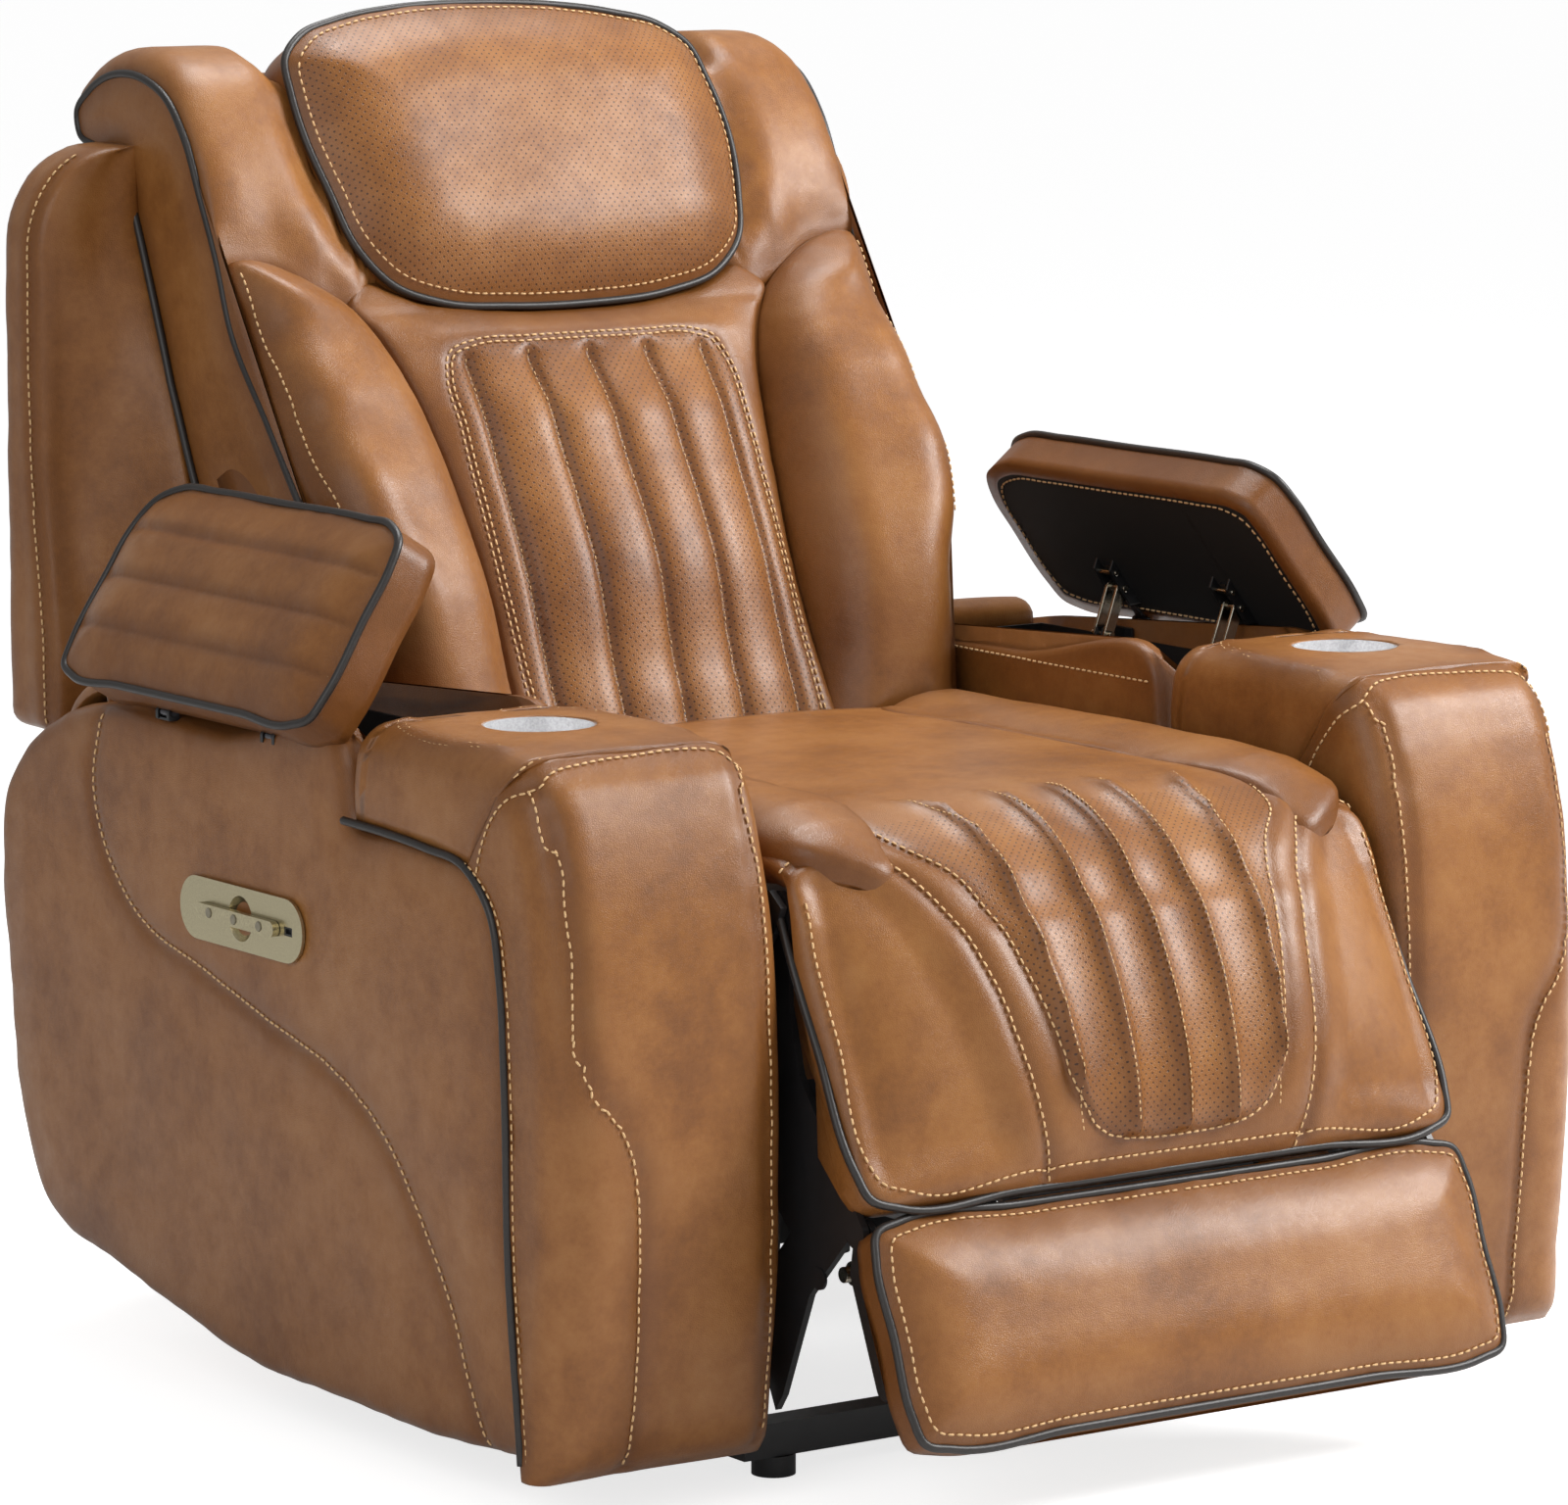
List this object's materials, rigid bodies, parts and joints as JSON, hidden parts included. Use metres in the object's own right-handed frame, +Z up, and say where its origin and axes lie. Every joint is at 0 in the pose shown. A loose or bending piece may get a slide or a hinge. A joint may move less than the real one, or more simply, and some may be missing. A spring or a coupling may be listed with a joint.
{
  "type": "power recliner",
  "caption": "Padded power recliner with tilting headrest, motor-driven leg rest and two arms, each with a cup holder and a storage bin under a hinged lid.",
  "frame": {"origin": "floor point under the middle of the bounding box", "axes": "+X to the right arm seen from the front, +Y to the rear, +Z up; the chair faces -Y"},
  "size_m": [1.0883, 1.2404, 1.1438],
  "materials": {
    "leather": "pull-up leather over foam, caramel, stitched and piped",
    "plain_leather": "plain leather-look upholstery",
    "black_steel": "black satin paint",
    "spring_steel": "plain",
    "plywood": "raw plywood",
    "black_plastic": "moulded",
    "motor_plastic": "moulded",
    "cup_steel": "brushed",
    "bin_plastic": "lined, dark",
    "lining_fabric": "black woven lining",
    "hinge_steel": "black with bright rivets",
    "champagne_metal": "satin champagne plating",
    "button_plastic": "bronze, satin"
  },
  "bodies": {
    "base": {"base_side_rails": "black_steel", "base_cross_tubes": "black_steel", "base_feet": "black_plastic", "mechanism_plate_left": "black_steel", "mechanism_plate_right": "black_steel", "seat_side_rails": "black_steel", "seat_cross_rails": "black_steel", "seat_springs": "spring_steel", "seat_cushion": "leather", "seat_apron": "plain_leather", "recline_motor": "motor_plastic", "motor_channel": "black_steel", "power_inlet": "motor_plastic", "arm_boards": "plywood", "arm_side_pad_left": "leather", "arm_side_pad_right": "leather", "arm_inner_pad_left": "plain_leather", "arm_inner_pad_right": "plain_leather", "arm_front_pad_left": "leather", "arm_front_pad_right": "leather", "cup_pod_left": "leather", "cup_pod_right": "leather", "cup_holder_left": "cup_steel", "cup_holder_right": "cup_steel", "storage_bin_left": "bin_plastic", "storage_bin_right": "bin_plastic", "lid_hinge_bases": "hinge_steel", "switch_plate": "champagne_metal", "switch_bar": "champagne_metal", "usb_port": "black_plastic"},
    "back": {"back_board": "plywood", "back_brackets": "black_steel", "back_centre_cushion": "leather", "back_bolster_left": "leather", "back_bolster_right": "leather", "back_crown": "leather", "back_wing_left": "leather", "back_wing_right": "leather", "back_rear_panel": "plain_leather", "headrest_motor": "motor_plastic"},
    "headrest": {"headrest_pad": "leather", "headrest_board": "plywood"},
    "leg_rest": {"leg_pad": "leather", "leg_board": "plywood", "swing_arms": "black_steel"},
    "footboard": {"footrest_pad": "leather", "footrest_board": "plywood", "footrest_brackets": "black_steel"},
    "torque_tube": {"torque_tube": "black_steel"},
    "drive_links": {"drive_links": "black_steel"},
    "actuator_block": {"actuator_block": "black_steel"},
    "lid_left": {"lid_board_left": "lining_fabric", "lid_pad_left": "leather", "lid_hinge_arms_left": "hinge_steel"},
    "lid_right": {"lid_board_right": "lining_fabric", "lid_pad_right": "leather", "lid_hinge_arms_right": "hinge_steel"},
    "button_recline": {"button_recline": "button_plastic"},
    "button_home": {"button_home": "button_plastic"},
    "button_extend": {"button_extend": "button_plastic"}
  },
  "joints": [
    {"name": "back_recline", "type": "hinge", "parent": "base", "child": "back", "pos_m": [0, 0.2042, 0.44], "axis": [-1, 0, 0], "range_deg": [0, 45]},
    {"name": "headrest_tilt", "type": "hinge", "parent": "back", "child": "headrest", "pos_m": [0, 0.39595, 0.87293], "axis": [1, 0, 0], "range_deg": [0, 28]},
    {"name": "leg_rest_lift", "type": "hinge", "parent": "base", "child": "leg_rest", "pos_m": [0, -0.4108, 0.47], "axis": [-1, 0, 0], "range_deg": [-28, 58]},
    {"name": "footboard_fold", "type": "hinge", "parent": "leg_rest", "child": "footboard", "pos_m": [0, -0.51582, 0.2281], "axis": [-1, 0, 0], "range_deg": [-9, 4.5]},
    {"name": "torque_tube_turn", "type": "hinge", "parent": "base", "child": "torque_tube", "pos_m": [0, -0.2608, 0.3], "axis": [-1, 0, 0], "range_deg": [-28, 58]},
    {"name": "drive_link_swing", "type": "hinge", "parent": "torque_tube", "child": "drive_links", "pos_m": [0, -0.26252, 0.22002], "axis": [-1, 0, 0], "range_deg": [-58, 28]},
    {"name": "actuator_slide", "type": "slide", "parent": "base", "child": "actuator_block", "axis": [0, -1, 0], "range_m": [-0.0369, 0.0758]},
    {"name": "lid_left_hinge", "type": "hinge", "parent": "base", "child": "lid_left", "pos_m": [-0.512, 0.0787, 0.5786], "axis": [0, -1, 0], "range_deg": [-58, 0]},
    {"name": "lid_right_hinge", "type": "hinge", "parent": "base", "child": "lid_right", "pos_m": [0.512, 0.0787, 0.5786], "axis": [0, 1, 0], "range_deg": [-52, 8]},
    {"name": "button_recline_press", "type": "slide", "parent": "base", "child": "button_recline", "axis": [1, 0, 0], "range_m": [0, 0.0012], "stiffness_N_per_m": 500, "springref_m": -0.0008},
    {"name": "button_home_press", "type": "slide", "parent": "base", "child": "button_home", "axis": [1, 0, 0], "range_m": [0, 0.0012], "stiffness_N_per_m": 500, "springref_m": -0.0008},
    {"name": "button_extend_press", "type": "slide", "parent": "base", "child": "button_extend", "axis": [1, 0, 0], "range_m": [0, 0.0012], "stiffness_N_per_m": 500, "springref_m": -0.0008}
  ],
  "couplings": [
    {"joint": "footboard_fold", "follows": "leg_rest_lift", "ratio": -0.15},
    {"joint": "torque_tube_turn", "follows": "leg_rest_lift", "ratio": 1},
    {"joint": "drive_link_swing", "follows": "leg_rest_lift", "ratio": -1},
    {"joint": "actuator_slide", "follows": "leg_rest_lift", "m_per_rad": 0.0744}
  ]
}
